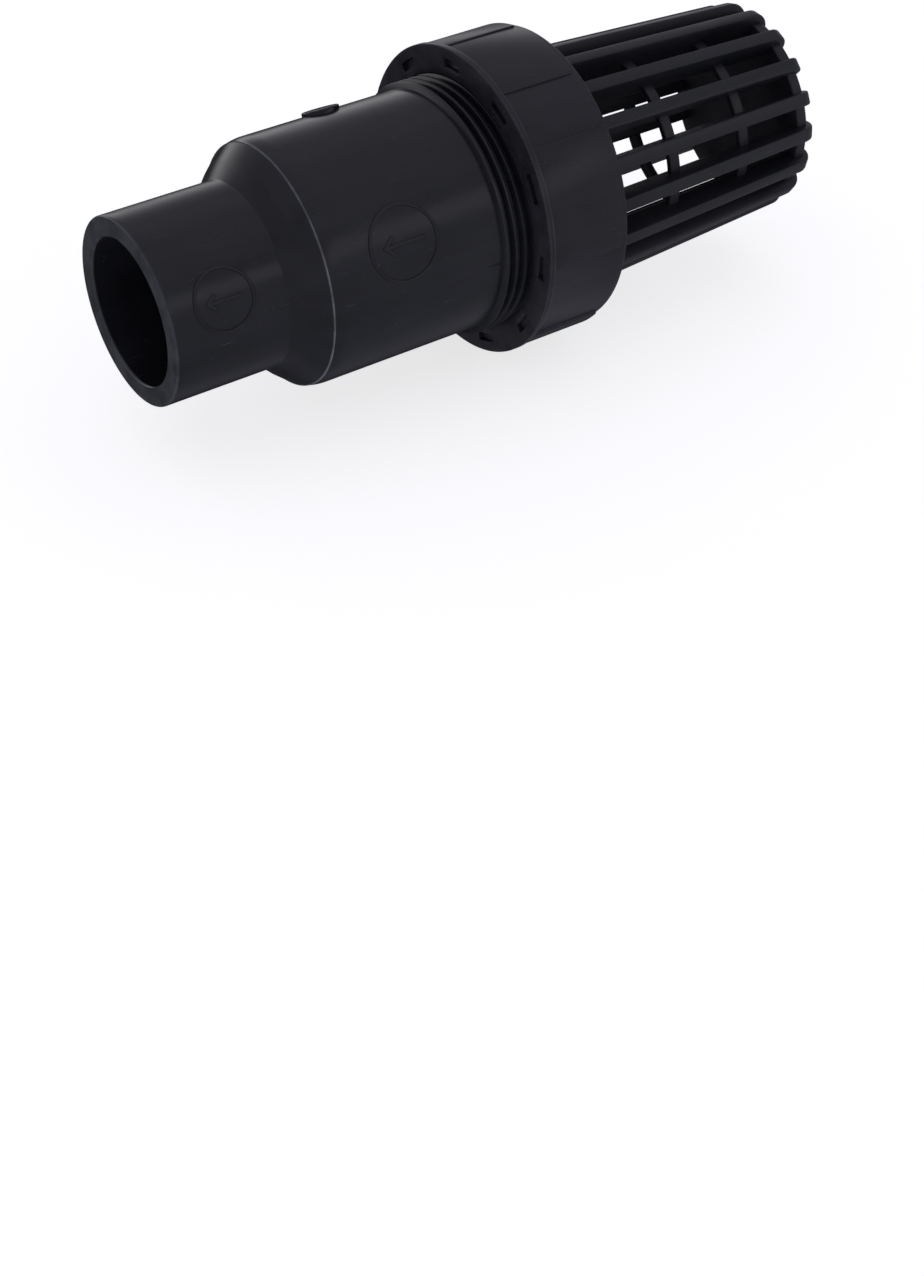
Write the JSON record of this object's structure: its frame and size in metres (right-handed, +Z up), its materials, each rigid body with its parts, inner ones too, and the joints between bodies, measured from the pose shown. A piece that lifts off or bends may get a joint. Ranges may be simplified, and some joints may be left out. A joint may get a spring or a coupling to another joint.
{
  "type": "foot valve",
  "caption": "Union foot valve with a slip socket outlet, a union nut, a spring-closed poppet on a guided stem and a tapered ribbed strainer on the inlet.",
  "frame": {"origin": "bottom centre of the bounding box, under the union nut, with the valve lying on its side", "axes": "+X along the valve's axis from the socket mouth to the strainer tip, +Z up, so water flows towards -X"},
  "size_m": [0.1766, 0.0738, 0.0738],
  "materials": {
    "body_upvc": "moulded, satin",
    "nut_upvc": "moulded, satin",
    "strainer_pp": "moulded, satin",
    "carrier_upvc": "moulded, satin",
    "poppet_upvc": "moulded, polished dome",
    "seal_epdm": "smooth rubber",
    "ring_epdm": "smooth rubber",
    "retainer_upvc": "moulded, satin",
    "spring_steel": "drawn stainless wire",
    "washer_steel": "pressed stainless",
    "clip_steel": "pressed stainless"
  },
  "bodies": {
    "outlet_half": {"valve_body": "body_upvc"},
    "inlet_half": {"seat_carrier": "carrier_upvc", "spigot_o_ring": "ring_epdm", "return_spring": "spring_steel", "strainer_basket": "strainer_pp"},
    "nut": {"union_nut": "nut_upvc"},
    "check_disc": {"poppet": "poppet_upvc", "poppet_seal": "seal_epdm", "seal_retainer": "retainer_upvc", "spring_washer": "washer_steel", "stem_clip": "clip_steel"}
  },
  "joints": [
    {"name": "union_draw", "type": "slide", "parent": "outlet_half", "child": "inlet_half", "axis": [1, 0, 0], "range_m": [0, 0.0125]},
    {"name": "nut_turn", "type": "hinge", "parent": "inlet_half", "child": "nut", "pos_m": [0.0097, 0, 0.0369], "axis": [1, 0, 0], "range_deg": [0, 1800]},
    {"name": "poppet_lift", "type": "slide", "parent": "inlet_half", "child": "check_disc", "axis": [-1, 0, 0], "range_m": [0, 0.008], "stiffness_N_per_m": 137, "springref_m": -0.005, "deforming": ["return_spring"]}
  ],
  "couplings": [
    {"joint": "union_draw", "follows": "nut_turn", "m_per_rad": 0.00039789}
  ]
}
